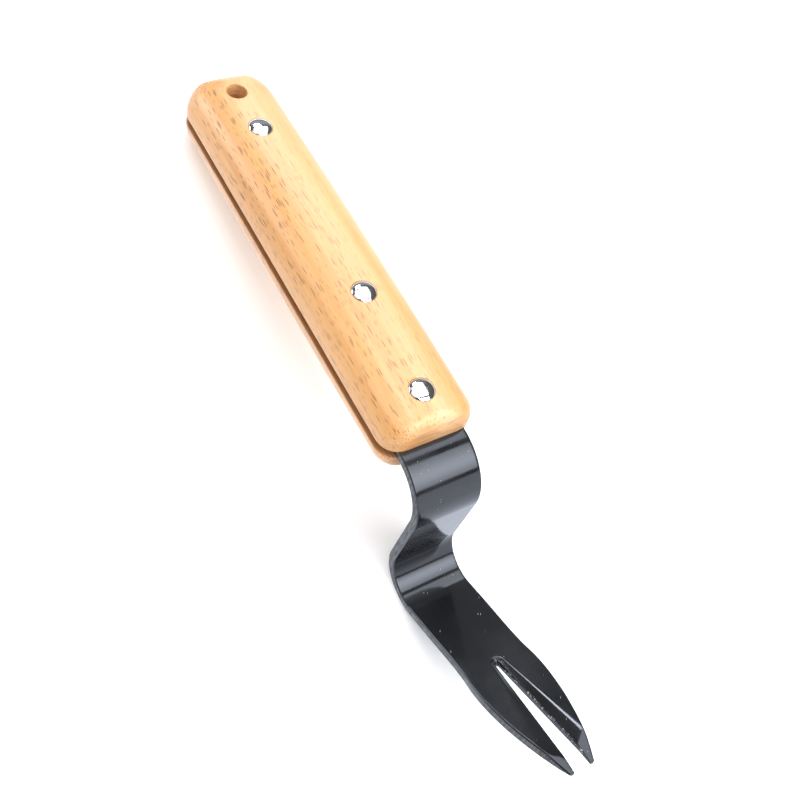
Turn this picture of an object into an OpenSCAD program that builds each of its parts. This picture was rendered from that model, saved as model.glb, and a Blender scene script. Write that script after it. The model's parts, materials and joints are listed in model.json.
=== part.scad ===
// Hand weeder: one stamped steel fork with a crank-bent neck, two wooden
// handle scales on its tang, and two-part rivets that hold them together.
// Everything is drawn with the handle along X, its front end at X = 0 and the
// middle of the tang at Z = 0, and is then laid down on its heel and its butt.

/* [Steel strip] */
// Width of the strip at the tang and the neck
strip_w = 20; // [18:0.5:24]
// Thickness of the strip
strip_t = 2.8; // [2:0.1:3.5]
// How far the tang stops short of the butt
tang_gap = 3; // [2:0.5:4]

/* [Neck] */
// Radius of the shoulder bend, at the middle of the strip
shoulder_r = 14; // [10:0.5:18]
// Angle that the shoulder turns down
shoulder_bend = 92.5; // [80:0.5:100]
// Straight length between the two bends
neck_len = 21.2; // [15:0.1:30]
// Radius of the heel bend, at the middle of the strip
heel_r = 10.4; // [8:0.1:14]
// Rise of the blade against the handle
blade_rise = 23.5; // [10:0.5:30]

/* [Blade] */
// Length of the flat blade from the heel bend to the points
blade_len = 64; // [60:0.5:70]
// Widest part of the blade
swell_w = 20.6; // [20.4:0.1:24]
// Distance from the heel bend to the widest part
swell_at = 33.5; // [33:0.5:38]
// Radius of the curved sides from the widest part to the points
side_r = 73; // [71:1:100]

/* [Notch] */
// Distance from the heel bend to the centre of the notch root
notch_at = 28.1; // [25:0.1:34]
// Radius of the notch root
root_r = 0.8; // [0.6:0.1:1.2]
// Width of the notch between the points
mouth_w = 6; // [5.4:0.1:6.4]
// Radius of the bevel around the notch root, on the upper face
bevel_r = 1.75; // [1.5:0.05:2.5]
// Width of the bevelled mouth, on the upper face
bevel_mouth_w = 14.4; // [12:0.1:16]
// Slope of the bevel along the notch
bevel_slope = 20; // [16:1:28]
// Length of the ground point of each tine
point_len = 8; // [5:0.5:9]
// Thickness left at the end of each point
point_t = 0.7; // [0.5:0.1:1.2]

/* [Handle] */
// Length of the handle
handle_len = 135; // [130:1:145]
// Width of the handle
handle_w = 28.4; // [26.4:0.5:30.9]
// Height of one scale at the middle of the handle
scale_h = 11.6; // [10:0.1:13]
// Height of the upright side of a scale, under its crown
side_h = 1.2; // [0.8:0.1:1.4]
// Radius of the long edges of a scale
crown_r = 9.8; // [9:0.1:10]
// Radius of the long arc from the front of a scale to its back
swell_r = 950; // [800:10:1500]
// Radius of the front corners, seen from above
front_corner_r = 6; // [4:0.5:8]
// Radius of the back corners, seen from above
back_corner_r = 9; // [7:0.5:11]
// Radius of the front edge, seen from the side
front_edge_r = 4.5; // [3:0.5:6]
// Radius of the back edge, seen from the side
back_edge_r = 6.5; // [4:0.5:7]

/* [Rivets] */
// Distance from the front of the handle to the front rivet
rivet_front = 10.4; // [9:0.1:14]
// Distance from the front rivet to the middle rivet
rivet_pitch = 32.5; // [30:0.5:36]
// Distance from the front of the handle to the rear rivet
rivet_rear = 107.9; // [100:0.1:110]
// Diameter of a rivet head
head_d = 7.2; // [6.5:0.1:8]
// Height of a head's dome
dome_h = 1; // [0.6:0.1:1.4]
// Thickness of a head under its dome
head_t = 0.5; // [0.4:0.1:0.8]
// Depth of a head's seat in the wood
seat_depth = 1; // [0.8:0.1:1.4]
// Diameter of the solid post
post_d = 3; // [2.6:0.1:3.2]
// Outer diameter of the sleeve that takes the post
sleeve_d = 4.4; // [4.2:0.1:5]

/* [Hang hole] */
// Diameter of the hole through the butt
hang_d = 6; // [5:0.5:7]
// Distance from the butt to the centre of the hole
hang_from_butt = 10.5; // [10:0.5:12]

/* [Hidden] */
$fn = 96;
// Sides of the full circle that the long arc of the handle belongs to
swell_fn = 1440;
// Extra size of a cutting shape beyond the face that it cuts
over = 1;
// How much thinner the strip is on each side round its bends, where it is stretched
bend_thinning = 0.01;
// How far the metal of a bend runs on inside the straight stretches next to it
bend_overlap = 0.3;
// How far a rounding stands out past the flat next to it, so that the two cross
proud = 0.01;
// Space around a sleeve in its hole, and around a head in its seat
rivet_gap = 0.05;
// Depth of the sleeve's bore that stays empty under the post
post_gap = 1.5;
// Height of the sleeve's end above the middle of the tang
sleeve_top = 4;

steel_colour = "#1c1e22";
wood_colour = "#e3b57c";
rivet_colour = "#c9ccd0";

half_t = strip_t / 2;
middle_x = -handle_len / 2;
front_rivet_x = -rivet_front;
middle_rivet_x = -rivet_front - rivet_pitch;
rear_rivet_x = -rivet_rear;
hang_x = -handle_len + hang_from_butt;

// Height of the long arc's centre, and of the arc itself at a place along the handle
swell_z = half_t + scale_h - swell_r;
function scale_top(x) = swell_z + sqrt(swell_r * swell_r - (x - middle_x) * (x - middle_x));
// Height of the centre of an edge of radius r that runs into the long arc near x
function edge_z(x, r) = swell_z + 2 * proud
    + sqrt((swell_r - r) * (swell_r - r) - (x - middle_x) * (x - middle_x));

// Crown of a scale: two side arcs, and one top arc that crosses both at a very small angle.
// The top arc is crown_tight times the arc that would be tangent to the side arcs.
crown_inset = handle_w / 2 - crown_r;
crown_rise = scale_h - side_h;
crown_tight = 0.97;
crown_top_r = crown_tight
    * (crown_inset * crown_inset + crown_rise * crown_rise - crown_r * crown_r)
    / (2 * (crown_rise - crown_r));
crown_half_angle = atan(crown_inset / (crown_top_r - crown_rise));

heel_bend = shoulder_bend + blade_rise;

// Both ends of the neck, centre of the heel bend and start of the blade, as [x, z]
neck_start = [shoulder_r * sin(shoulder_bend), shoulder_r * (cos(shoulder_bend) - 1)];
neck_end = neck_start + neck_len * [cos(shoulder_bend), -sin(shoulder_bend)];
heel_centre = neck_end + heel_r * [sin(shoulder_bend), cos(shoulder_bend)];
blade_start = heel_centre + heel_r * [sin(blade_rise), -cos(blade_rise)];

// Tilt that brings the heel and the butt's lower edge down to one level
butt_centre = [-handle_len + back_edge_r, -edge_z(-handle_len + back_edge_r, back_edge_r)];
heel_out_r = heel_r + half_t;
rest_span = heel_centre - butt_centre;
rest_tilt = asin((heel_out_r - back_edge_r) / norm(rest_span)) - atan2(rest_span[1], rest_span[0]);
function tilted_x(p) = p[0] * cos(rest_tilt) - p[1] * sin(rest_tilt);
function tilted_z(p) = p[0] * sin(rest_tilt) + p[1] * cos(rest_tilt);
rest_lift = heel_out_r - tilted_z(heel_centre);
back_reach = tilted_x([butt_centre[0], -butt_centre[1]]) - back_edge_r;
front_reach = tilted_x(blade_start) + blade_len * cos(blade_rise + rest_tilt)
    + half_t * sin(blade_rise + rest_tilt);
rest_shift = -(back_reach + front_reach) / 2;

// Lays the tool down: heel and butt on Z = 0, middle of its length at X = 0
module laid_down() {
    translate([rest_shift, 0, rest_lift])
        rotate([0, -rest_tilt, 0])
            children();
}

// Extrudes a side view, drawn as x and z, evenly about the middle plane
module side_view(width) {
    rotate([90, 0, 0])
        linear_extrude(height = width, center = true)
            children();
}

// Side view of a bend about the origin: the strip comes in along X and turns by an angle
module bend_view(r, turn) {
    reach = 2 * r;
    intersection() {
        difference() {
            circle(r + half_t - bend_thinning);
            circle(r - half_t + bend_thinning);
        }
        translate([-bend_overlap, -reach])
            square([reach, 2 * reach]);
        rotate(turn)
            translate([bend_overlap - reach, -reach])
                square([reach, 2 * reach]);
    }
}

// Side view of a straight stretch of the strip that starts at the origin
module straight_view(length) {
    translate([0, -half_t])
        square([length, strip_t]);
}

// Side view of the whole strip: tang, shoulder, neck, heel and blade
module crank_view() {
    translate([-handle_len + tang_gap, 0])
        straight_view(handle_len - tang_gap);
    translate([0, -shoulder_r]) {
        bend_view(shoulder_r, -shoulder_bend);
        rotate(-shoulder_bend)
            translate([0, shoulder_r]) {
                straight_view(neck_len);
                translate([neck_len, heel_r]) {
                    bend_view(heel_r, heel_bend);
                    rotate(heel_bend)
                        translate([0, -heel_r])
                            straight_view(blade_len);
                }
            }
    }
}

// Moves to the start of the blade, by the same turns as the side view
module at_blade_start() {
    translate([0, 0, -shoulder_r])
        rotate([0, shoulder_bend, 0])
            translate([0, 0, shoulder_r])
                translate([neck_len, 0, heel_r])
                    rotate([0, -heel_bend, 0])
                        translate([0, 0, -heel_r])
                            children();
}

// Outline of the strip seen square on to its blade: even width, then the swell of the blade
module strip_outline() {
    lens_from = swell_at / 3;
    translate([-2 * handle_len, -strip_w / 2])
        square([2 * handle_len + swell_at, strip_w]);
    intersection() {
        translate([lens_from, -swell_w])
            square([blade_len, 2 * swell_w]);
        translate([swell_at, side_r - swell_w / 2])
            circle(side_r, $fn = 720);
        translate([swell_at, swell_w / 2 - side_r])
            circle(side_r, $fn = 720);
    }
}

// Notch seen square on, from its round root out past the points
module notch_outline() {
    run = blade_len - notch_at;
    spread = atan((mouth_w / 2 - root_r) / run);
    touch = root_r * [-sin(spread), cos(spread)];
    mouth = [run + over, mouth_w / 2 + over * tan(spread)];
    translate([notch_at, 0]) {
        circle(root_r);
        polygon([
            touch,
            mouth,
            [mouth[0], -mouth[1]],
            [touch[0], -touch[1]]
        ]);
    }
}

// Space above the sloping bevel on one side of the notch: side is 1 or -1
module bevel_cut(side) {
    run = blade_len - notch_at;
    spread = atan((bevel_mouth_w / 2 - bevel_r) / run);
    reach = 2 * blade_len;
    intersection() {
        translate([notch_at, side * bevel_r, half_t])
            rotate([0, 0, side * spread])
                rotate([side * bevel_slope, 0, 0])
                    translate([-reach / 2, -reach / 2, 0])
                        cube(reach);
        translate([notch_at, side > 0 ? 0 : -reach, -reach / 2])
            cube(reach);
    }
}

// Cone that carries the bevel round the root of the notch
module bevel_root() {
    cone_h = bevel_r * tan(bevel_slope);
    translate([notch_at, 0, half_t - cone_h])
        cylinder(h = cone_h, r1 = 0, r2 = bevel_r);
}

// Space above the slope that thins each tine towards its point
module point_cut() {
    slope = atan((strip_t - point_t) / point_len);
    reach = 2 * blade_len;
    translate([blade_len - point_len, 0, half_t])
        rotate([0, slope, 0])
            translate([0, -reach / 2, 0])
                cube(reach);
}

// All that is taken away from the blade, in the blade's own frame
module notch_and_points() {
    linear_extrude(height = strip_t + 2 * over, center = true)
        notch_outline();
    bevel_cut(1);
    bevel_cut(-1);
    bevel_root();
    point_cut();
}

// Round hole right through the handle at a place along it
module handle_bore(x, d) {
    translate([x, 0, 0])
        cylinder(h = 3 * scale_h, d = d, center = true);
}

module fork_blade() {
    color(steel_colour)
        laid_down()
            difference() {
                intersection() {
                    side_view(2 * swell_w)
                        crank_view();
                    at_blade_start()
                        linear_extrude(height = 2 * handle_len, center = true)
                            strip_outline();
                }
                at_blade_start()
                    notch_and_points();
                for (x = [front_rivet_x, middle_rivet_x, rear_rivet_x])
                    handle_bore(x, sleeve_d + 2 * rivet_gap);
                handle_bore(hang_x, hang_d);
            }
}

// Cross-section of the crown: x is the height above the long arc's centre, y is across
module crown_section() {
    centre = half_t + side_h - swell_z;
    translate([centre - side_h - over, proud - handle_w / 2])
        square([side_h + over, handle_w - 2 * proud]);
    for (side = [-1, 1])
        translate([centre, side * crown_inset])
            circle(crown_r);
    translate([centre + crown_rise - crown_top_r, 0])
        intersection() {
            circle(crown_top_r);
            polygon([
                [0, 0],
                2 * crown_top_r * [cos(crown_half_angle), sin(crown_half_angle)],
                2 * crown_top_r * [cos(crown_half_angle), -sin(crown_half_angle)]
            ]);
        }
}

// Long crowned bar that both ends of a scale are cut from
module crowned_bar() {
    sweep = 2 * asin((handle_len / 2 + over) / (swell_r - 2 * scale_h));
    translate([middle_x, 0, swell_z])
        rotate([90, 0, 0])
            rotate([0, 0, 90 - sweep / 2])
                rotate_extrude(angle = sweep, $fn = swell_fn)
                    crown_section();
}

// Plan of a scale, with round corners. Its straight sides and ends stand clear of the scale.
module scale_plan() {
    half_w = handle_w / 2;
    wide = handle_w + 2 * over;
    translate([-handle_len + back_corner_r, -wide / 2])
        square([handle_len - back_corner_r - front_corner_r, wide]);
    for (end = [[0, front_corner_r, 1], [-handle_len, back_corner_r, -1]]) {
        corner_x = end[0] - end[2] * (end[1] - proud);
        corner_y = half_w - end[1] + proud;
        translate([corner_x - end[1] - over, -corner_y])
            square([2 * end[1] + 2 * over, 2 * corner_y]);
        for (side = [-1, 1])
            translate([corner_x, side * corner_y])
                circle(end[1]);
    }
}

// Side view of a scale, with round front and back edges
module scale_side() {
    front_x = -front_edge_r;
    back_x = -handle_len + back_edge_r;
    translate([back_x, half_t])
        square([front_x - back_x, scale_h + over]);
    for (end = [[front_x, front_edge_r], [back_x, back_edge_r]]) {
        translate([end[0] - end[1] + proud, half_t])
            square([2 * (end[1] - proud), edge_z(end[0], end[1]) - half_t]);
        translate([end[0], edge_z(end[0], end[1])])
            circle(end[1]);
    }
}

// One scale lying on top of the tang
module scale_body() {
    difference() {
        intersection() {
            crowned_bar();
            linear_extrude(height = 3 * scale_h)
                scale_plan();
            side_view(2 * handle_w)
                scale_side();
        }
        for (x = [front_rivet_x, middle_rivet_x, rear_rivet_x]) {
            handle_bore(x, sleeve_d + 2 * rivet_gap);
            translate([x, 0, scale_top(x) - seat_depth])
                cylinder(h = scale_h, d = head_d + 2 * rivet_gap);
        }
        handle_bore(hang_x, hang_d);
    }
}

module upper_scale() {
    color(wood_colour)
        laid_down()
            scale_body();
}

module lower_scale() {
    color(wood_colour)
        laid_down()
            mirror([0, 0, 1])
                scale_body();
}

// Rivet head with its flat underside at z = 0 and its dome upwards
module rivet_head() {
    dome_r = (head_d * head_d / 4 + dome_h * dome_h) / (2 * dome_h);
    cylinder(h = head_t, d = head_d);
    intersection() {
        translate([0, 0, head_t + dome_h - dome_r])
            sphere(dome_r);
        translate([0, 0, head_t])
            cylinder(h = dome_h + over, d = head_d);
    }
}

// Upper half of a rivet: head and solid post
module rivet_post(x) {
    seat = scale_top(x) - seat_depth;
    post_end = -seat + post_gap;
    color(rivet_colour)
        laid_down()
            translate([x, 0, 0]) {
                translate([0, 0, seat])
                    rivet_head();
                translate([0, 0, post_end])
                    cylinder(h = seat - post_end, d = post_d);
            }
}

// Lower half of a rivet: head and the sleeve that the post is pressed into
module rivet_cap(x) {
    seat = scale_top(x) - seat_depth;
    color(rivet_colour)
        laid_down()
            translate([x, 0, 0]) {
                mirror([0, 0, 1])
                    translate([0, 0, seat])
                        rivet_head();
                difference() {
                    translate([0, 0, -seat])
                        cylinder(h = seat + sleeve_top, d = sleeve_d);
                    translate([0, 0, -seat])
                        cylinder(h = 2 * seat + sleeve_top, d = post_d);
                }
            }
}

fork_blade();
upper_scale();
lower_scale();
rivet_post(front_rivet_x);  // front_rivet_post
rivet_cap(front_rivet_x);  // front_rivet_cap
rivet_post(middle_rivet_x);  // middle_rivet_post
rivet_cap(middle_rivet_x);  // middle_rivet_cap
rivet_post(rear_rivet_x);  // rear_rivet_post
rivet_cap(rear_rivet_x);  // rear_rivet_cap
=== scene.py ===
import json
import math

import bmesh
import bpy
from mathutils import Matrix, Vector


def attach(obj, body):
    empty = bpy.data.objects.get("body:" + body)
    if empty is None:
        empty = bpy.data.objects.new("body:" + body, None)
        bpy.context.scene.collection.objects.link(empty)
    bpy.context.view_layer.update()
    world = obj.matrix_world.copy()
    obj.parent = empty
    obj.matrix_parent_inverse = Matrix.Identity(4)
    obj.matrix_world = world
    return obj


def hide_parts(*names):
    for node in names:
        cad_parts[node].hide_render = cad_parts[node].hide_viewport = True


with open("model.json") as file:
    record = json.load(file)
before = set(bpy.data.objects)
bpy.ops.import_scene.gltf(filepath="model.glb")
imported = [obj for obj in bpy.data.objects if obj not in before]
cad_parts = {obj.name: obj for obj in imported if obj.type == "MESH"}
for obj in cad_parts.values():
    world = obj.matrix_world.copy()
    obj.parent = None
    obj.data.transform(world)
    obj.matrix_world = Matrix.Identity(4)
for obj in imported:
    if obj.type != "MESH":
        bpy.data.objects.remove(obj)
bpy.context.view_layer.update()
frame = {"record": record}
MOUNTS = {mount["name"]: mount for mount in frame["record"]["mounts"]}

# Sizes are in millimetres in the handle's own frame: x along the handle to the points with 0 at its
# front end, y across, z up from the middle of the tang.
MM = 0.001

# Beech scales: swell of the long arc, corners seen from above, and the round front and back edges
HANDLE_LEN = 135.0
HANDLE_W = 28.39
SCALE_H = 11.6
SWELL_R = 950.0
FRONT_CORNER_R = 6.0
BACK_CORNER_R = 9.0
FRONT_EDGE_R = 4.5
BACK_EDGE_R = 6.5
FRONT_FACE_H = 4.3
BACK_FACE_H = 2.9
# Power of the crown's curve, where 2 is an ellipse
CROWN_POWER = 2.3
# Blend width of the sanded crease at a scale's ends, and how far along the scale it fades out
SAND_W = 3.5
SAND_REACH = 9.0
LOWER_EDGE_R = 0.3
# Broken edge of a scale's end face: its inset, and the place and inset of the line next to it
END_BREAK = 0.3
END_STEP = 0.08
END_STEP_BREAK = 0.09

# Steel strip: tang, shoulder bend, neck, heel bend and blade
STRIP_HALF = 1.4
STRIP_W = 20.4
TANG_BACK = -132.0
SHOULDER_R = 14.0
SHOULDER_BEND = math.radians(92.5)
NECK_LEN = 21.2
HEEL_R = 10.4
BLADE_RISE = math.radians(23.5)
HEEL_BEND = SHOULDER_BEND + BLADE_RISE
BLADE_FROM = SHOULDER_R * SHOULDER_BEND + NECK_LEN + HEEL_R * HEEL_BEND
BLADE_LEN = 64.0
# Half width of the blade at distances from the heel bend
BLADE_EDGE = ((0, 10.2), (10, 10.1), (20, 9.9), (26, 10), (32, 10.45), (38, 10.25),
              (45, 9.35), (51, 8.05), (56, 6.65), (60, 5.35), (64, 3.8))

# Notch: its root's place, and half its width at the root and between the points, on the lower face
NOTCH_AT = 28.1
NOTCH_R = 0.35
NOTCH_MOUTH = 2.4
# Bevel of the notch: half its width at both ends on the upper face, its depth, and its crest's blend
BEVEL_R = 1.75
BEVEL_MOUTH = 7.2
BEVEL_DEPTH = 0.9
CREST_SOFT = 0.2
# Ground points: slope, thickness at the end, blend where the slope starts, and radius of the tip
POINT_RISE = math.tan(math.radians(17))
POINT_T = 0.6
POINT_SOFT = 0.3
TIP_R = 0.45
# Share of the thickness left at the very tip
TIP_THIN = 0.35
# Rounding of the strip's upper and lower corners
EDGE_TOP_R = 0.42
EDGE_LOW_R = 0.22
# Notch wall: how far its top leans back, and the sizes of its upper and lower lips
WALL_LEAN = 0.55
WALL_R = 0.2
WALL_LOW_R = 0.85

# Rivets, their seats and the hanging hole
RIVET_X = {"front": -10.4, "middle": -42.9, "rear": -107.9}
HEAD_R = 3.6
HEAD_RIM_H = 0.5
HEAD_SHOULDER_H = 0.54
HEAD_DOME_H = 0.46
SEAT_DEPTH = 1.0
SEAT_GAP = 0.06
POST_R = 1.5
SLEEVE_R = 2.2
SLEEVE_TOP = 4.0
POST_GAP = 1.5
HANG_X = -124.5
HANG_R = 3.0

# Radius of the cards that reflections see and the height of their centre line, in metres
CARD_R = 1.3
CARD_Z = 0.03
# Colour of the cards' light
COOL = (0.80, 0.87, 1.0)
# Strength of the pale dome round the set
FILL = 0.72

ALONG = Vector(MOUNTS["grip"]["axis"]).normalized()
UP = Vector(MOUNTS["hang_hole"]["axis"]).normalized()
ACROSS = UP.cross(ALONG)
# A small lift, in metres, keeps the underside inside the CAD box
LIFT = Vector((0, 0, 3e-6))
FRONT_END = Vector(MOUNTS["grip"]["pos_m"]) + ALONG * (HANDLE_LEN / 2 * MM) + LIFT
TILT = math.atan2(ALONG.z, ALONG.x)


def turned(vector):
    """A direction of the handle's frame, in the rest frame."""
    return ALONG * vector[0] + ACROSS * vector[1] + UP * vector[2]


def placed(point):
    """A point of the handle's frame in millimetres, in the rest frame in metres."""
    return FRONT_END + turned(point) * MM


# ---------------------------------------------------------------- mesh helpers

class Skin:
    """Collects grids of points that share their edges, and welds them into one mesh."""

    def __init__(self):
        self.verts, self.faces, self.kinds = [], [], []

    def grid(self, rows, kinds=None):
        """Quads between rows of equal length. kinds gives the material of each column."""
        first, width = len(self.verts), len(rows[0])
        for row in rows:
            self.verts.extend(row)
        for i in range(len(rows) - 1):
            for j in range(width - 1):
                a = first + i * width + j
                self.faces.append((a, a + 1, a + width + 1, a + width))
                self.kinds.append(kinds[j] if kinds else 0)

    def cap(self, loop):
        """One face that closes a loop of points."""
        first = len(self.verts)
        self.verts.extend(loop)
        self.faces.append(tuple(range(first, first + len(loop))))
        self.kinds.append(0)

    def mirrored(self):
        """Adds the same grids on the other side of the middle plane."""
        count = len(self.verts)
        self.verts += [(s, -v, h) for s, v, h in self.verts]
        self.faces += [tuple(count + i for i in reversed(face)) for face in self.faces]
        self.kinds += self.kinds[:]


def mesh_object(name, verts, faces, materials, kinds=None, weld=0.0):
    """A linked object. kinds gives each face's material, and weld merges points that close."""
    mesh = bpy.data.meshes.new(name)
    mesh.from_pydata(verts, [], faces)
    for material in materials:
        mesh.materials.append(material)
    if kinds:
        mesh.polygons.foreach_set("material_index", kinds)
    shape = bmesh.new()
    shape.from_mesh(mesh)
    if weld:
        bmesh.ops.remove_doubles(shape, verts=shape.verts, dist=weld)
    bmesh.ops.recalc_face_normals(shape, faces=shape.faces)
    shape.to_mesh(mesh)
    shape.free()
    thing = bpy.data.objects.new(name, mesh)
    bpy.context.scene.collection.objects.link(thing)
    return thing


def smoothed(thing, angle):
    """Smooth shading, kept sharp at edges over the angle in degrees."""
    mesh = thing.data
    mesh.polygons.foreach_set("use_smooth", [True] * len(mesh.polygons))
    mesh.set_sharp_from_angle(angle=math.radians(angle))
    weigh = thing.modifiers.new("weighted normals", "WEIGHTED_NORMAL")
    weigh.keep_sharp = True
    weigh.weight = 80
    bake_modifiers(thing)


def bake_modifiers(thing):
    """Applies a mesh's modifiers."""
    graph = bpy.context.evaluated_depsgraph_get()
    done = bpy.data.meshes.new_from_object(thing.evaluated_get(graph), depsgraph=graph)
    thing.modifiers.clear()
    old, thing.data = thing.data, done
    done.name = thing.name
    bpy.data.meshes.remove(old)


def carve(thing, cutter):
    """Cuts one closed mesh out of another."""
    cut = thing.modifiers.new("cut", "BOOLEAN")
    cut.operation = "DIFFERENCE"
    cut.solver = "EXACT"
    cut.object = cutter
    bake_modifiers(thing)
    bpy.data.objects.remove(cutter)


def arc(centre, radius, start, stop, steps):
    """Points on an arc, with angles in degrees."""
    angles = [math.radians(start + (stop - start) * i / steps) for i in range(steps + 1)]
    return [(centre[0] + radius * math.cos(a), centre[1] + radius * math.sin(a)) for a in angles]


def curve_corner(start, corner, end, steps):
    """Points on a quadratic curve that rounds a corner."""
    points = []
    for i in range(steps + 1):
        t = i / steps
        weights = ((1 - t) ** 2, 2 * t * (1 - t), t * t)
        points.append(tuple(sum(w * p[k] for w, p in zip(weights, (start, corner, end)))
                            for k in range(2)))
    return points


def spread(start, stop, steps):
    """Evenly spaced numbers, both ends included."""
    return [start + (stop - start) * i / steps for i in range(steps + 1)]


def along_curve(knots, at):
    """A smooth curve through (place, value) knots, by Catmull-Rom."""
    k = 1
    while k < len(knots) - 2 and at > knots[k][0]:
        k += 1
    if at <= knots[1][0]:
        k = 1
    low, high = knots[k - 1], knots[k]
    before, after = knots[max(k - 2, 0)], knots[min(k + 1, len(knots) - 1)]
    span = high[0] - low[0]
    slope_low = (high[1] - before[1]) / (high[0] - before[0]) * span
    slope_high = (after[1] - low[1]) / (after[0] - low[0]) * span
    t = (at - low[0]) / span
    return ((2 * t ** 3 - 3 * t ** 2 + 1) * low[1] + (t ** 3 - 2 * t ** 2 + t) * slope_low
            + (3 * t ** 2 - 2 * t ** 3) * high[1] + (t ** 3 - t ** 2) * slope_high)


def lathe(name, profile, x, flip, materials):
    """Turns a profile of (radius, height) pairs about the upright line at x."""
    steps = 72
    verts, faces, rings = [], [], []
    side = -1 if flip else 1
    for radius, z in profile:
        if radius == 0:
            rings.append([len(verts)] * steps)
            verts.append(placed((x, 0, side * z)))
            continue
        rings.append(list(range(len(verts), len(verts) + steps)))
        for i in range(steps):
            a = 2 * math.pi * i / steps
            verts.append(placed((x + radius * math.cos(a), radius * math.sin(a), side * z)))
    for low, high in zip(rings, rings[1:]):
        for i in range(steps):
            j = (i + 1) % steps
            faces.append(list(dict.fromkeys((low[i], low[j], high[j], high[i]))))
    return mesh_object(name, verts, faces, materials, weld=1e-8)


# ---------------------------------------------------------------- steel fork

def bent(point):
    """Bends a point of the flat strip (along, across, above its middle) into the handle's frame."""
    s, v, h = point
    if s <= 0:
        return Vector((s, v, h))
    turn = min(s / SHOULDER_R, SHOULDER_BEND)
    x, z = SHOULDER_R * math.sin(turn), SHOULDER_R * (math.cos(turn) - 1)
    heading = -turn
    left = s - SHOULDER_R * SHOULDER_BEND
    if left > 0:
        run = min(left, NECK_LEN)
        x, z = x + run * math.cos(heading), z + run * math.sin(heading)
        left -= NECK_LEN
    if left > 0:
        cx, cz = x - HEEL_R * math.sin(heading), z + HEEL_R * math.cos(heading)
        heading += min(left / HEEL_R, HEEL_BEND)
        x, z = cx + HEEL_R * math.sin(heading), cz - HEEL_R * math.cos(heading)
        left -= HEEL_R * HEEL_BEND
    if left > 0:
        x, z = x + left * math.cos(heading), z + left * math.sin(heading)
    return Vector((x - h * math.sin(heading), v, z + h * math.cos(heading)))


def half_width(u):
    """Half width of the blade at a distance from the heel bend."""
    return STRIP_W / 2 if u <= 0 else along_curve(BLADE_EDGE, u)


def notch_v(u):
    """Half width of the notch, at its bottom edge."""
    return NOTCH_R + (NOTCH_MOUTH - NOTCH_R) * (u - NOTCH_AT) / (BLADE_LEN - NOTCH_AT)


def crest_v(u):
    """Where the bevel meets the upper face."""
    return BEVEL_R + (BEVEL_MOUTH - BEVEL_R) * (u - NOTCH_AT) / (BLADE_LEN - NOTCH_AT)


def soft_max(a, b, width):
    """The larger of two numbers, blended where they differ by less than width."""
    blend = max(width - abs(a - b), 0) / width
    return max(a, b) + blend * blend * width / 4


def top_of(u, v):
    """Height of the blade's upper side: its face, the notch's bevel and the ground point."""
    if u < NOTCH_AT:
        inside = (BEVEL_R - math.hypot(u - NOTCH_AT, v)) / (BEVEL_R - NOTCH_R)
    else:
        inside = (crest_v(u) - v) / (crest_v(u) - notch_v(u))
    drop = soft_max(0, inside * BEVEL_DEPTH, CREST_SOFT)
    ground = 2 * STRIP_HALF - POINT_T - (BLADE_LEN - u) * POINT_RISE
    return STRIP_HALF - soft_max(drop, ground, POINT_SOFT)


def edge_profile(w, top=STRIP_HALF):
    """Outer edge of the strip as (across, above), from its upper to its lower face."""
    thick = top + STRIP_HALF
    upper, lower = min(EDGE_TOP_R, 0.4 * thick), min(EDGE_LOW_R, 0.3 * thick)
    side = spread(top - upper, -STRIP_HALF + lower, 4)[1:-1]
    return (arc((w - upper, top - upper), upper, 90, 0, 6) + [(w, h) for h in side]
            + arc((w - lower, -STRIP_HALF + lower), lower, 0, -90, 4))


# Materials along an edge and up the notch wall: 0 coated, 1 sheared, 2 torn
EDGE_KINDS = [0] * 6 + [1] * 4 + [0] * 4
WALL_KINDS = [0] * 7 + [2] * 6
# Mesh lines across half of the strip, and from the notch past the bevel's crest to the edge
FACE_STEPS = 12
INNER_STEPS = 4
CREST_OFFSETS = (-0.42, -0.3, -0.2, -0.12, -0.04, 0.04, 0.12, 0.2, 0.3, 0.42)
OUTER_STEPS = 8
UPPER_STEPS = INNER_STEPS + len(CREST_OFFSETS) + OUTER_STEPS - 1
# Least distance from the notch wall to the crest's lines, and least share between crowded lines
CREST_CLEAR = 0.25
CROWD_SHARE = 0.012
# Distance from the heel bend where the mesh lines start to fan out round the notch's root
FAN_FROM = 19.0


def strip_rows():
    """Places of the cross-sections from the back of the tang to the fan."""
    shoulder, heel = SHOULDER_R * SHOULDER_BEND, HEEL_R * HEEL_BEND
    places = spread(TANG_BACK, 0, 22) + spread(0, shoulder, 48)[1:]
    places += spread(shoulder, shoulder + NECK_LEN, 8)[1:]
    places += spread(BLADE_FROM - heel, BLADE_FROM, 56)[1:]
    return places + spread(BLADE_FROM, BLADE_FROM + FAN_FROM, 12)[1:]


def strip_section(s):
    """Right half of the strip's section, from the middle of the top to the middle of the bottom."""
    w = half_width(s - BLADE_FROM)
    edge = edge_profile(w)
    top = [(v, STRIP_HALF) for v in spread(0, edge[0][0], FACE_STEPS)[:-1]]
    low = [(v, -STRIP_HALF) for v in spread(edge[-1][0], 0, FACE_STEPS)[1:]]
    return [(s, v, h) for v, h in top + edge + low]


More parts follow.
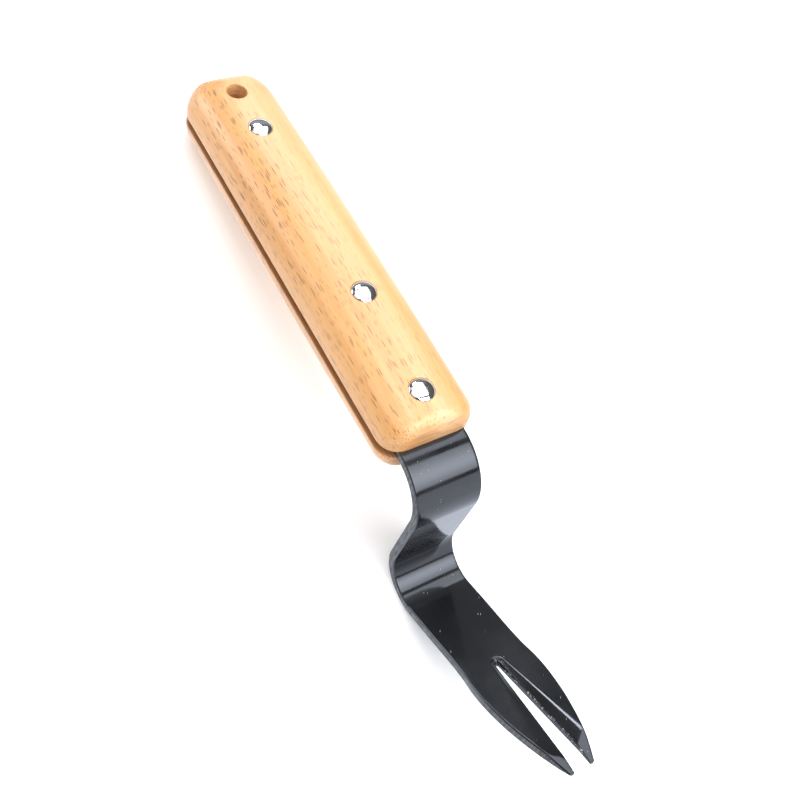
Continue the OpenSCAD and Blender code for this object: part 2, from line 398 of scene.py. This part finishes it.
def wall_profile(height_at):
    """Notch wall as (distance, above), from the lower face up to the upper side."""
    lean = WALL_LEAN
    for _ in range(3):
        top = height_at(lean)
        lean = WALL_LEAN * (top + STRIP_HALF) / (2 * STRIP_HALF)
    thick = top + STRIP_HALF
    r = min(WALL_R, 0.25 * thick)
    r_low = min(WALL_LOW_R, 0.45 * thick)
    low = curve_corner((r_low, -STRIP_HALF), (0, -STRIP_HALF),
                       (lean * r_low / thick, -STRIP_HALF + r_low), 6)
    high = curve_corner((lean * (1 - r / thick), top - r), (lean, top),
                        (lean + r, height_at(lean + r)), 4)
    mids = [tuple(a + (b - a) * t for a, b in zip(low[-1], high[0])) for t in (0.33, 0.67)]
    return low + mids + high


def top_distances(start, crest, reach):
    """Distances from the notch wall, gathered round the crest of the bevel."""
    first = max(crest + CREST_OFFSETS[0], start + CREST_CLEAR)
    places = spread(start, first, INNER_STEPS)[:-1]
    places += [crest + step for step in CREST_OFFSETS]
    places += spread(crest + CREST_OFFSETS[-1], reach, OUTER_STEPS)[1:]
    last = len(places) - 1
    out = []
    for i, place in enumerate(places):
        limit = reach - (reach - start) * CROWD_SHARE * (last - i)
        place = min(place, limit)
        out.append(place if not out else max(place, out[-1] + 1e-4))
    out[-1] = reach
    return out


def fan_line(wall, direction, far, far_low):
    """Wall, upper side and lower side of a line across the blade from the notch to a far point."""
    reach = math.dist(wall, far)

    def plan(distance, end, length):
        t = min(distance / length, 1)
        bow = tuple(w + d * length / 2 for w, d in zip(wall, direction))
        weights = ((1 - t) ** 2, 2 * t * (1 - t), t * t)
        return tuple(sum(k * p[i] for k, p in zip(weights, (wall, bow, end))) for i in range(2))

    def height_at(distance):
        return top_of(*plan(distance, far, reach))

    profile = wall_profile(height_at)
    rows = [(*plan(q, far, reach), h) for q, h in profile]
    at_root = wall[0] < NOTCH_AT + 0.01
    crest = BEVEL_R - NOTCH_R if at_root else crest_v(wall[0]) - wall[1]
    for q in top_distances(profile[-1][0], crest, reach)[1:]:
        u, v = plan(q, far, reach)
        rows.append((u, v, top_of(u, v)))
    low_reach = math.dist(wall, far_low)
    low = [(*plan(q, far_low, low_reach), -STRIP_HALF)
           for q in spread(profile[0][0], low_reach, UPPER_STEPS)]
    return rows, low


def shifted(points):
    """From the blade's own distances to distances along the whole strip."""
    return [(BLADE_FROM + u, v, h) for u, v, h in points]


def fan_rows():
    """Lines from the round root of the notch out to the even strip and to the blade's edge."""
    edge = edge_profile(half_width(FAN_FROM))
    ends = [(FAN_FROM, FAN_FROM, top, low) for top, low in
            zip(spread(0, edge[0][0], FACE_STEPS), spread(0, edge[-1][0], FACE_STEPS))]
    for u in spread(FAN_FROM, NOTCH_AT, 10)[1:]:
        edge = edge_profile(half_width(u))
        ends.append((u, u, edge[0][0], edge[-1][0]))
    lines = []
    for i, (u, u_low, top, low) in enumerate(ends):
        a = math.pi * (1 - 0.5 * i / (len(ends) - 1))
        direction = (math.cos(a), math.sin(a))
        wall = (NOTCH_AT + NOTCH_R * direction[0], NOTCH_R * direction[1])
        lines.append(fan_line(wall, direction, (u, top), (u_low, low)))
    return lines


def tine_stations():
    """Places of a tine's sections, each with how much of its width is left at the round tip."""
    ground_from = 56
    places = spread(NOTCH_AT, ground_from, 20) + spread(ground_from, BLADE_LEN - TIP_R, 24)[1:]
    return [(u, 1.0) for u in places] + [
        (BLADE_LEN - TIP_R + TIP_R * math.sin(math.radians(a)), math.cos(math.radians(a)))
        for a in (15, 30, 45, 58, 70, 80)]


def tine_section(u, keep):
    """Closed section of a tine. keep narrows it towards its middle at the very tip."""
    w = half_width(min(u, BLADE_LEN))
    wall = notch_v(u)
    middle = (w + wall) / 2
    profile = wall_profile(lambda q: top_of(u, wall + q))
    reach = w - EDGE_TOP_R - wall
    distances = top_distances(profile[-1][0], crest_v(u) - wall,
                              max(reach, profile[-1][0] + 0.05))
    top = [(wall + q, top_of(u, wall + q)) for q in distances[1:]]
    edge = edge_profile(w, top[-1][1])
    if abs(edge[0][0] - top[-1][0]) > 1e-6:
        top[-1] = edge[0]
    low = [(v, -STRIP_HALF) for v in spread(edge[-1][0], wall + profile[0][0], UPPER_STEPS)[1:]]
    loop = [(wall + q, h) for q, h in profile] + top + edge[1:] + low
    heights = [h for _, h in loop]
    level = (max(heights) + min(heights)) / 2
    lift = TIP_THIN + (1 - TIP_THIN) * keep
    return [(u, middle + (v - middle) * keep, level + (h - level) * lift) for v, h in loop]


def fork_skin():
    """The whole fork as a flat strip, still to be bent."""
    skin = Skin()
    sections = [strip_section(s) for s in strip_rows()]
    skin.grid(sections, [0] * FACE_STEPS + EDGE_KINDS + [0] * FACE_STEPS)
    skin.cap(sections[0])
    fan = fan_rows()
    wide = len(fan[0][0]) - 1
    skin.grid([shifted(top) for top, _ in fan], WALL_KINDS + [0] * (wide - len(WALL_KINDS)))
    skin.grid([shifted(low) for _, low in fan])
    bands = [[(u, v, h) for v, h in edge_profile(half_width(u))]
             for u in spread(FAN_FROM, NOTCH_AT, 10)]
    skin.grid([shifted(band) for band in bands], EDGE_KINDS)
    tines = [shifted(tine_section(u, keep)) for u, keep in tine_stations()]
    lower = len(tines[0]) - 1 - len(WALL_KINDS) - len(EDGE_KINDS) - UPPER_STEPS
    skin.grid(tines, WALL_KINDS + [0] * UPPER_STEPS + EDGE_KINDS + [0] * lower)
    skin.cap(tines[-1])
    skin.mirrored()
    return skin


def bore_cutter(x, radius):
    return lathe("bore", [(0, 20), (radius, 20), (radius, -20), (0, -20)], x, False, [])


def make_fork(coated, sheared, torn):
    skin = fork_skin()
    verts = [placed(bent(point)) for point in skin.verts]
    materials = [coated, sheared, torn]
    fork = mesh_object("steel_fork", verts, skin.faces, materials, skin.kinds, weld=1.5e-6)
    for x in RIVET_X.values():
        carve(fork, bore_cutter(x, SLEEVE_R + SEAT_GAP))
    carve(fork, bore_cutter(HANG_X, HANG_R))
    smoothed(fork, 40)
    return fork


# ---------------------------------------------------------------- beech scales

def ridge(x):
    """Height of a scale's long arc."""
    swell_z = STRIP_HALF + SCALE_H - SWELL_R
    return swell_z + math.sqrt(SWELL_R ** 2 - (x + HANDLE_LEN / 2) ** 2)


def scale_size(x):
    """Half width of a scale, its ridge and its end's height at a place along the handle."""
    half, top = HANDLE_W / 2, ridge(x)
    if x > -FRONT_CORNER_R:
        half += math.sqrt(max(FRONT_CORNER_R ** 2 - (x + FRONT_CORNER_R) ** 2, 0)) - FRONT_CORNER_R
    back = -HANDLE_LEN + BACK_CORNER_R
    if x < back:
        half += math.sqrt(max(BACK_CORNER_R ** 2 - (x - back) ** 2, 0)) - BACK_CORNER_R
    return half, top, end_height(x)


def end_height(x):
    """Height left by the round front or back edge at a place along a scale."""
    for edge, r, reach, face in (
            (-FRONT_EDGE_R, FRONT_EDGE_R, x + FRONT_EDGE_R, FRONT_FACE_H),
            (-HANDLE_LEN + BACK_EDGE_R, BACK_EDGE_R, -HANDLE_LEN + BACK_EDGE_R - x, BACK_FACE_H)):
        if reach > 0:
            fall = ridge(edge) - STRIP_HALF - face
            return ridge(edge) - fall * (1 - math.sqrt(max(1 - (reach / r) ** 2, 0)))
    return ridge(x)


def worn_together(crown, end, x):
    """Lower of the crown and the end's round edge, with the crease between them sanded soft."""
    near = min(x + HANDLE_LEN, -x)
    fade = max(1 - near / SAND_REACH, 0) ** 2
    overlap = max(SAND_W - abs(crown - end), 0)
    return min(crown, end) - fade * overlap * overlap / (4 * SAND_W)


def scale_loop(x, inset=0.0):
    """Closed section of a scale: crown, broken lower edges and flat underside."""
    half, top, end = scale_size(x)
    half, top, end, r = half - inset, top - inset, end - inset, LOWER_EDGE_R
    base = STRIP_HALF + r
    crown = []
    for a in spread(0, math.pi, 72):
        c, s = math.cos(a), math.sin(a)
        y = math.copysign(abs(c) ** (2 / CROWN_POWER), c) * half
        height = (top - base) * max(s, 0) ** (2 / CROWN_POWER)
        crown.append((y, base + max(worn_together(height, end - base, x), 0)))
    right = arc((half - r, base), r, -90, 0, 4)[:-1]
    left = [(-y, z) for y, z in reversed(right)]
    return [(x, y, z) for y, z in right + crown + left]


def scale_places():
    """Places of a scale's sections, gathered at its two ends."""
    front = [-FRONT_CORNER_R + FRONT_CORNER_R * math.sin(math.radians(a))
             for a in spread(0, 86, 20)]
    back = [-HANDLE_LEN + BACK_CORNER_R * (1 - math.sin(math.radians(a)))
            for a in spread(86, 0, 20)]
    return back + spread(back[-1], front[0], 34)[1:-1] + front


def scale_solid(name, flip, beech):
    """One scale, before its holes are cut."""
    loops = [scale_loop(-HANDLE_LEN, END_BREAK), scale_loop(-HANDLE_LEN + END_STEP, END_STEP_BREAK)]
    loops += [scale_loop(x) for x in scale_places()]
    loops += [scale_loop(-END_STEP, END_STEP_BREAK), scale_loop(0, END_BREAK)]
    verts, faces = [], []
    wide = len(loops[0])
    for loop in loops:
        verts += [placed((x, y, -z if flip else z)) for x, y, z in loop]
    for i in range(len(loops) - 1):
        for j in range(wide):
            k = (j + 1) % wide
            faces.append((i * wide + j, i * wide + k, (i + 1) * wide + k, (i + 1) * wide + j))
    faces.append(tuple(range(wide)))
    faces.append(tuple(range(len(verts) - wide, len(verts))))
    return mesh_object(name, verts, faces, [beech])


def seat_cutter(x, flip):
    """Sleeve hole and head seat with a slightly broken rim."""
    floor, rim = ridge(x) - SEAT_DEPTH, ridge(x) - 0.16
    r = HEAD_R + SEAT_GAP
    profile = [(0, 0), (SLEEVE_R + SEAT_GAP, 0), (SLEEVE_R + SEAT_GAP, floor), (r, floor),
               (r, rim - 0.08), (r + 0.03, rim), (r + 0.11, rim + 0.09), (r + 0.4, rim + 0.3),
               (r + 0.4, ridge(x) + 5), (0, ridge(x) + 5)]
    return lathe("seat", profile, x, flip, [])


def hang_cutter(flip):
    """Hanging hole with a rounded mouth."""
    rim = ridge(HANG_X) - 0.3
    profile = [(0, 0), (HANG_R, 0), (HANG_R, rim - 0.5), (HANG_R + 0.06, rim - 0.2),
               (HANG_R + 0.22, rim + 0.1), (HANG_R + 0.7, rim + 0.5), (HANG_R + 0.7, rim + 5),
               (0, rim + 5)]
    return lathe("hang", profile, HANG_X, flip, [])


def make_scale(name, flip, beech):
    scale = scale_solid(name, flip, beech)
    for x in RIVET_X.values():
        carve(scale, seat_cutter(x, flip))
    carve(scale, hang_cutter(flip))
    smoothed(scale, 38)
    return scale


# ---------------------------------------------------------------- rivets

def head_profile(seat):
    """Dome and rim of a rivet head, from its top outwards."""
    profile = []
    for i in range(19):
        t = i / 18
        radius = HEAD_R * math.sin(t * math.pi / 2)
        dome = HEAD_DOME_H * (1 - (radius / HEAD_R) ** 2)
        shoulder = HEAD_SHOULDER_H * (1 - (radius / HEAD_R) ** 7) ** 0.5
        profile.append((radius, seat + HEAD_RIM_H + dome + shoulder))
    return profile + [(HEAD_R, seat + 0.2), (HEAD_R - 0.12, seat)]


def make_rivet_post(name, x, nickel):
    """Upper half: a head with a solid post."""
    seat = ridge(x) - SEAT_DEPTH
    end = -seat + POST_GAP
    profile = head_profile(seat) + [(POST_R, seat), (POST_R, end + 0.3), (POST_R - 0.3, end),
                                    (0, end)]
    rivet = lathe(name, profile, x, False, [nickel])
    smoothed(rivet, 50)
    return rivet


def make_rivet_cap(name, x, nickel):
    """Lower half: a head with a sleeve that takes the post."""
    seat = ridge(x) - SEAT_DEPTH
    top = -SLEEVE_TOP
    bore = POST_R + 0.01
    profile = head_profile(seat) + [(SLEEVE_R, seat), (SLEEVE_R, top + 0.2), (SLEEVE_R - 0.2, top),
                                    (bore, top), (bore, seat), (0, seat)]
    rivet = lathe(name, profile, x, True, [nickel])
    smoothed(rivet, 50)
    return rivet


# ---------------------------------------------------------------- materials

class Shader:
    """A material's node tree with short calls to add to it."""

    def __init__(self, name):
        self.material = bpy.data.materials.new(name)
        self.material.use_nodes = True
        self.tree = self.material.node_tree
        self.surface = self.tree.nodes["Principled BSDF"]

    def add(self, kind, inputs=None, **settings):
        """A node whose inputs are linked where they are sockets and set where they are values."""
        node = self.tree.nodes.new("ShaderNode" + kind)
        for key, value in settings.items():
            setattr(node, key, value)
        for key, value in (inputs or {}).items():
            if isinstance(value, bpy.types.NodeSocket):
                self.tree.links.new(value, node.inputs[key])
            else:
                node.inputs[key].default_value = value
        return node

    def handle_frame(self):
        """Position in metres in the handle's frame, which the grain follows."""
        at = self.add("TexCoord").outputs["Object"]
        moved = self.add("VectorMath", {0: at, 1: tuple(FRONT_END)}, operation="SUBTRACT")
        return self.add("Mapping", {"Vector": moved.outputs[0], "Rotation": (0, TILT, 0)}).outputs[0]

    def stretched(self, vector, per_metre, offset=(0, 0, 0)):
        """Texture place with so many cells per metre along each axis."""
        return self.add("Mapping", {"Vector": vector, "Location": offset,
                                    "Scale": per_metre}).outputs[0]

    def noise(self, vector, detail, rough=0.5):
        return self.add("TexNoise", {"Vector": vector, "Scale": 1.0, "Detail": detail,
                                     "Roughness": rough}).outputs["Fac"]

    def ramp(self, value, stops):
        """Colours blended smoothly between (place, colour) stops."""
        node = self.add("ValToRGB", {"Fac": value})
        ramp = node.color_ramp
        ramp.interpolation = "EASE"
        while len(ramp.elements) < len(stops):
            ramp.elements.new(0.5)
        for element, (place, colour) in zip(ramp.elements, stops):
            element.position = place
            element.color = (*colour, 1)
        return node.outputs["Color"]

    def level(self, value, low, high, out_low=0.0, out_high=1.0):
        """A value's range mapped to another and held at its ends."""
        return self.add("MapRange", {"Value": value, "From Min": low, "From Max": high,
                                     "To Min": out_low, "To Max": out_high}).outputs["Result"]

    def math(self, operation, a, b=0.0):
        return self.add("Math", {0: a, 1: b}, operation=operation).outputs[0]

    def mix(self, share, a, b):
        """Colour a with a share of colour b. Sockets 0, 6, 7 and output 2 are the node's colour mode."""
        node = self.add("Mix", {0: share}, data_type="RGBA")
        for socket, value in ((node.inputs[6], a), (node.inputs[7], b)):
            if isinstance(value, tuple):
                socket.default_value = (*value, 1)
            else:
                self.tree.links.new(value, socket)
        return node.outputs[2]

    def bump(self, height, distance, strength, under=None):
        """Normal of a bump that stands distance metres high where its height is 1."""
        inputs = {"Height": height, "Distance": distance, "Strength": strength}
        if under is not None:
            inputs["Normal"] = under
        return self.add("Bump", inputs).outputs["Normal"]

    def set(self, **inputs):
        """Links or sets the shader's inputs, named with _ for spaces."""
        for key, value in inputs.items():
            socket = self.surface.inputs[key.replace("_", " ")]
            if isinstance(value, bpy.types.NodeSocket):
                self.tree.links.new(value, socket)
            else:
                socket.default_value = value

    def spots(self, vector, cells, size, presence, offset=(0, 0, 0), soft=0.45):
        """Scattered spots: a share of the texture's cells holds one each, solid to soft of its size."""
        at = self.stretched(vector, cells, offset)
        cell = self.add("TexVoronoi", {"Vector": at, "Scale": 1.0, "Randomness": 1.0})
        spot = self.level(cell.outputs["Distance"], size, size * soft)
        chance = self.add("SeparateColor", {0: cell.outputs["Color"]}).outputs[0]
        there = self.level(chance, 1 - presence, 1 - presence + 0.02)
        return self.math("MULTIPLY", spot, there)


def beech_grain(s, at, broad, streak):
    """Colour of the wood with its streaks, hairlines and pale bands."""
    colour = s.ramp(broad, [(0.32, (0.75, 0.40, 0.145)), (0.68, (0.68, 0.32, 0.094))])
    colour = s.mix(s.level(streak, 0.42, 0.72, 0, 0.5), colour, (0.56, 0.26, 0.075))
    hair = s.noise(s.stretched(at, (45, 2600, 2600), (5, 3, 8)), 2, 0.6)
    colour = s.mix(s.level(hair, 0.5, 0.75, 0, 0.35), colour, (0.48, 0.21, 0.06))
    pale = s.noise(s.stretched(at, (22, 380, 380), (9, 2, 5)), 2)
    return s.mix(s.level(pale, 0.55, 0.75, 0, 0.35), colour, (0.80, 0.51, 0.25))


def beech_flecks(s, at, broad, across):
    """Share of dark flecks, with slightly bent ends, denser on one side of the handle."""
    wander = s.add("TexNoise", {"Vector": at, "Scale": 260.0, "Detail": 2.0}).outputs["Color"]
    shift = s.add("VectorMath", {0: wander, 1: (0.0011, 0.00016, 0.00016)}, operation="MULTIPLY")
    bent_at = s.add("VectorMath", {0: at, 1: shift.outputs[0]}, operation="ADD").outputs[0]
    flecks = s.spots(bent_at, (170, 1700, 1700), 0.34, 0.5, soft=0.75)
    fine = s.spots(bent_at, (320, 2700, 2700), 0.36, 0.34, (4, 9, 2), 0.7)
    dense = s.math("MULTIPLY", s.level(broad, 0.4, 0.56, 0.6, 1.0),
                   s.level(across, -0.004, 0.004, 1.0, 0.45))
    return s.math("MULTIPLY", dense, s.math("MAXIMUM", flecks, s.math("MULTIPLY", fine, 0.7)))


def beech_painted_sheen(s, across, streak):
    """Share of a pale band painted along the scale off its middle: a painted sheen of the lacquer, in
    the shape of a sapwood figure.
    """
    off_line = s.math("ABSOLUTE", s.math("SUBTRACT", across, 0.0034))
    return s.math("MULTIPLY", s.level(off_line, 0.0058, 0.001, 0, 0.5),
                  s.level(streak, 0.3, 0.7, 1, 0.7))


def beech_end_grain(s):
    """Share of end grain, where a face looks along the handle."""
    normal = s.add("TexCoord").outputs["Normal"]
    turned_normal = s.add("Mapping", {"Vector": normal, "Rotation": (0, TILT, 0)}).outputs[0]
    end = s.add("SeparateXYZ", {0: turned_normal})
    return s.level(s.math("ABSOLUTE", end.outputs[0]), 0.55, 0.95)


def beech_material():
    s = Shader("lacquered_beech")
    at = s.handle_frame()
    broad = s.noise(s.stretched(at, (9, 70, 70)), 3)
    streak = s.noise(s.stretched(at, (16, 620, 620), (3, 7, 1)), 3, 0.6)
    _, across, height = s.add("SeparateXYZ", {0: at}).outputs
    dark = beech_flecks(s, at, broad, across)
    end_grain = beech_end_grain(s)
    rings = s.noise(s.stretched(at, (300, 130, 1300), (2, 2, 6)), 3, 0.6)
    # Painted shade: the faces beside the tang, in the recess between the scales, are darkened where
    # shade falls
    gap_shade = s.level(s.math("ABSOLUTE", height), 0.00195, 0.0015, 0, 0.65)
    colour = beech_grain(s, at, broad, streak)
    # Painted sheen: a pale band along the scale stands in for the lacquer's broad highlight
    colour = s.mix(beech_painted_sheen(s, across, streak), colour, (0.84, 0.59, 0.345))
    colour = s.mix(s.math("MULTIPLY", dark, 0.85), colour, (0.20, 0.085, 0.025))
    # Painted shade in the recess between the scales
    colour = s.mix(gap_shade, colour, (0.38, 0.15, 0.05))
    ringed = s.math("MULTIPLY", end_grain, s.level(rings, 0.45, 0.58, 0.0, 0.7))
    colour = s.mix(ringed, colour, (0.44, 0.20, 0.075))
    rough = s.level(broad, 0.3, 0.7, 0.36, 0.46)
    grain = s.math("ADD", s.math("MULTIPLY", streak, 0.4), s.math("MULTIPLY", dark, -0.7))
    s.set(Base_Color=colour, Coat_Weight=0.25, Coat_Roughness=0.28)
    s.set(Roughness=s.math("ADD", rough, s.math("MULTIPLY", end_grain, 0.2)))
    s.set(Normal=s.bump(grain, 0.00006, 0.6))
    return s.material


def coated_material():
    """Black enamel with dust, fine scratches and a slight orange-peel wave."""
    s = Shader("black_enamel")
    at = s.handle_frame()
    cloud = s.noise(s.stretched(at, (60, 60, 60)), 3)
    colour = s.ramp(cloud, [(0.35, (0.0085, 0.009, 0.0105)), (0.7, (0.014, 0.0145, 0.016))])
    dust = s.spots(at, (280, 280, 280), 0.045, 0.55)
    scratch_at = s.add("Mapping", {"Vector": at, "Rotation": (0.3, 0.5, 0.75)}).outputs[0]
    scratch = s.spots(scratch_at, (150, 2600, 1500), 0.2, 0.045, (1, 5, 3))
    marks = s.math("MAXIMUM", dust, scratch)
    colour = s.mix(s.math("MULTIPLY", marks, 0.8), colour, (0.5, 0.5, 0.49))
    s.set(Base_Color=colour)
    s.set(Roughness=s.math("ADD", s.level(cloud, 0.3, 0.7, 0.10, 0.17),
                           s.math("MULTIPLY", marks, 0.4)))
    orange_peel = s.noise(s.stretched(at, (330, 330, 330)), 2)
    wave = s.noise(s.stretched(at, (45, 45, 45), (2, 8, 4)), 1)
    first = s.bump(orange_peel, 0.00003, 0.35)
    s.set(Normal=s.bump(wave, 0.0005, 0.12, first))
    return s.material


def sheared_material():
    """Sheared outer edge of the strip, thinly coated over its grooves."""
    s = Shader("sheared_edge")
    at = s.handle_frame()
    lines = s.noise(s.stretched(at, (2600, 2600, 300)), 2, 0.6)
    cloud = s.noise(s.stretched(at, (160, 160, 160)), 2)
    colour = s.ramp(lines, [(0.4, (0.012, 0.012, 0.012)), (0.66, (0.10, 0.098, 0.094))])
    grit = s.spots(at, (900, 900, 900), 0.16, 0.18)
    colour = s.mix(s.math("MULTIPLY", grit, 0.4), colour, (0.22, 0.21, 0.19))
    s.set(Base_Color=colour, Roughness=s.level(cloud, 0.3, 0.7, 0.34, 0.5),
          Specular_IOR_Level=0.3)
    s.set(Normal=s.bump(lines, 0.00008, 0.7))
    return s.material


def torn_material():
    """Broken upper lip of the notch wall, where bare bright grains show through the enamel."""
    s = Shader("torn_lip")
    at = s.handle_frame()
    grains = s.spots(at, (1700, 1700, 1700), 0.55, 0.5)
    patches = s.level(s.noise(s.stretched(at, (420, 420, 420)), 2), 0.4, 0.55)
    bright = s.math("MULTIPLY", grains, patches)
    s.set(Base_Color=s.mix(bright, (0.012, 0.012, 0.013), (0.55, 0.54, 0.52)))
    s.set(Roughness=s.level(bright, 0, 1, 0.14, 0.4))
    s.set(Normal=s.bump(grains, 0.00012, 0.8))
    return s.material


def nickel_material():
    """Nickel of the rivet heads, with faint polishing lines."""
    s = Shader("polished_nickel")
    at = s.handle_frame()
    lines = s.noise(s.stretched(at, (900, 5200, 2000)), 2)
    colour = s.ramp(lines, [(0.3, (0.78, 0.77, 0.75)), (0.7, (0.86, 0.85, 0.84))])
    s.set(Base_Color=colour, Metallic=1.0)
    s.set(Roughness=s.level(lines, 0.3, 0.7, 0.06, 0.13))
    s.set(Normal=s.bump(lines, 0.00001, 0.15))
    return s.material


def floor_material():
    s = Shader("pale_paper")
    at = s.add("TexCoord").outputs["Object"]
    cloud = s.noise(s.stretched(at, (40, 40, 40)), 3)
    colour = s.ramp(cloud, [(0.3, (0.86, 0.875, 0.90)), (0.7, (0.88, 0.895, 0.92))])
    s.set(Base_Color=colour, Roughness=0.9)
    s.set(Emission_Color=(1, 1, 1, 1), Emission_Strength=0.22)
    return s.material


# ---------------------------------------------------------------- scene

def only_reflected(card):
    """Hides a card from everything except reflections."""
    card.visible_camera = False
    card.visible_diffuse = False
    card.visible_shadow = False
    card.visible_transmission = False


def glow_surface(name, colour, stops):
    """Light of a card that changes smoothly across it: stops are (share of its width, strength)."""
    s = Shader(name)
    across = s.add("SeparateXYZ", {0: s.add("UVMap").outputs["UV"]}).outputs[0]
    peak = max(strength for _, strength in stops)
    glow = [(place, tuple(c * strength / peak for c in colour)) for place, strength in stops]
    s.set(Base_Color=(0, 0, 0, 1), Roughness=1.0, Specular_IOR_Level=0.0)
    s.set(Emission_Color=s.ramp(across, glow), Emission_Strength=peak)
    return s.material


def even_glow(name, colour, strength):
    """Light of a card that is the same all over it."""
    s = Shader(name)
    s.set(Base_Color=(0, 0, 0, 1), Roughness=1.0, Specular_IOR_Level=0.0)
    s.set(Emission_Color=(*colour, 1), Emission_Strength=strength)
    return s.material


def curved_card(name, start, stop, reach, stops, colour=COOL):
    """A card curved about the line across the tool, between two angles from +X and two places in Y."""
    steps = 24
    verts = []
    for angle in spread(start, stop, steps):
        a = math.radians(angle)
        verts += [Vector((CARD_R * math.cos(a), y, CARD_Z + CARD_R * math.sin(a))) for y in reach]
    faces = [(2 * i, 2 * i + 1, 2 * i + 3, 2 * i + 2) for i in range(steps)]
    card = mesh_object(name, verts, faces, [glow_surface(name + "_light", colour, stops)])
    layer = card.data.uv_layers.new(name="UVMap")
    for loop in card.data.loops:
        layer.data[loop.index].uv = (loop.vertex_index // 2 / steps, loop.vertex_index % 2)
    only_reflected(card)


def softbox(name, centre, size, power):
    """Square area light, in metres and watts, turned to the origin and not seen in reflections."""
    light = bpy.data.lights.new(name, "AREA")
    light.shape = "SQUARE"
    light.size = size
    light.energy = power
    thing = bpy.data.objects.new(name, light)
    thing.location = centre
    thing.rotation_euler = (-Vector(centre)).to_track_quat("-Z", "Y").to_euler()
    thing.visible_glossy = False
    bpy.context.scene.collection.objects.link(thing)


def make_floor():
    """Pale round floor, and under it the even glow that reflections see in its place."""
    steps, radius, gap, shine = 96, 6.0, 0.002, 1.9
    turns = spread(0, 2 * math.pi, steps)[:-1]
    rim = [Vector((radius * math.cos(a), radius * math.sin(a), 0)) for a in turns]
    face = tuple(range(steps))
    floor = mesh_object("floor", rim, [face], [floor_material()])
    floor.visible_glossy = False
    lowered = [point - Vector((0, 0, gap)) for point in rim]
    bright = mesh_object("floor_shine", lowered, [face],
                         [even_glow("floor_shine_light", COOL, shine)])
    only_reflected(bright)


def make_camera():
    """Camera at the photograph's viewing angle. Its place is given in the handle's frame."""
    eye = placed((87.1, -115.0, 219.7))
    ahead = turned((-0.381, 0.425, -0.821)).normalized()
    right = turned((0.480, 0.850, 0.218)).normalized()
    right = (right - ahead * right.dot(ahead)).normalized()
    up = right.cross(ahead)
    lens = bpy.data.cameras.new("camera")
    lens.lens, lens.sensor_width = 45, 36
    lens.clip_start, lens.clip_end = 0.01, 50
    camera = bpy.data.objects.new("camera", lens)
    turn = Matrix((right, up, -ahead)).transposed().to_4x4()
    camera.matrix_world = Matrix.Translation(eye) @ turn
    bpy.context.scene.collection.objects.link(camera)
    bpy.context.scene.camera = camera


def make_world():
    """Weak white world light and plain colour management."""
    world = bpy.data.worlds.new("studio")
    world.use_nodes = True
    background = world.node_tree.nodes["Background"]
    background.inputs["Color"].default_value = (1, 1, 1, 1)
    background.inputs["Strength"].default_value = 0.12
    bpy.context.scene.world = world
    view = bpy.context.scene.view_settings
    view.view_transform = "Standard"
    view.look = "None"
    view.exposure = 0


def make_backdrop():
    """Pale dome round the set. It fills the shadows, and reflections don't see it."""
    steps, rings, radius, sunk = 48, 12, 5.9, 0.01
    rows = []
    for a in spread(0, math.pi / 2, rings):
        reach, height = radius * math.cos(a), radius * math.sin(a) - sunk
        rows.append([(reach * math.cos(b), reach * math.sin(b), height)
                     for b in spread(0, 2 * math.pi, steps)])
    skin = Skin()
    skin.grid(rows)
    dome = mesh_object("backdrop", skin.verts, skin.faces,
                       [even_glow("backdrop_light", (1, 1, 1), FILL)], weld=1e-5)
    dome.visible_glossy = False


def make_cards():
    """Cards that the steel, the rivets and the lacquer reflect: windows, walls and two lamps."""
    sides = (-0.1, 0.82)
    curved_card("right_wall", -20, 31, (-1.4, 1.4), [(0, 2.0), (1, 2.3)])
    curved_card("front_window", 40, 93, sides, [(0, 5.0), (0.42, 8.5), (1, 5.0)])
    curved_card("front_window_rim", 41, 92, (-0.32, -0.12), [(0, 9.0), (1, 11.0)])
    curved_card("back_window", 105, 130, sides, [(0, 4.2), (1, 4.2)])
    curved_card("back_window_end", 130, 144.5, (0.36, 0.82), [(0, 4.2), (1, 5.0)])
    curved_card("back_window_low", 130, 139, (-0.1, 0.36), [(0, 4.2), (1, 4.6)])
    curved_card("back_fill", 94, 132, (-1.4, -0.14), [(0, 1.5), (1, 1.3)], (1.0, 0.9, 0.95))
    curved_card("crest_lamp", 144.6, 153.5, (0.2, 0.47), [(0, 20.0), (1, 20.0)])
    curved_card("edge_lamp", 155, 167, (-1.3, -0.4), [(0, 12.0), (1, 12.0)])
    curved_card("left_wall", 154, 192, (0.0, 1.4), [(0, 0.42), (1, 0.2)])


def make_studio():
    make_world()
    make_camera()
    make_floor()
    make_backdrop()
    softbox("overhead", (-0.3, 0.15, 1.3), 1.3, 15)
    softbox("front_box", (0.5, 0.55, 0.8), 0.7, 8)
    make_cards()


def build():
    """Every visible piece, with the CAD node that it replaces and its material slot."""
    beech = beech_material()
    nickel = nickel_material()
    fork = make_fork(coated_material(), sheared_material(), torn_material())
    pieces = [(fork, "fork_blade", "coated_steel")]
    pieces.append((make_scale("upper_beech_scale", False, beech), "upper_scale", "beech"))
    pieces.append((make_scale("lower_beech_scale", True, beech), "lower_scale", "beech"))
    for place, x in RIVET_X.items():
        post = make_rivet_post(place + "_rivet_upper_half", x, nickel)
        cap = make_rivet_cap(place + "_rivet_lower_half", x, nickel)
        pieces.append((post, place + "_rivet_post", "nickel"))
        pieces.append((cap, place + "_rivet_cap", "nickel"))
    for piece, node, slot in pieces:
        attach(piece, "root")
        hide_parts(node)


make_studio()
build()
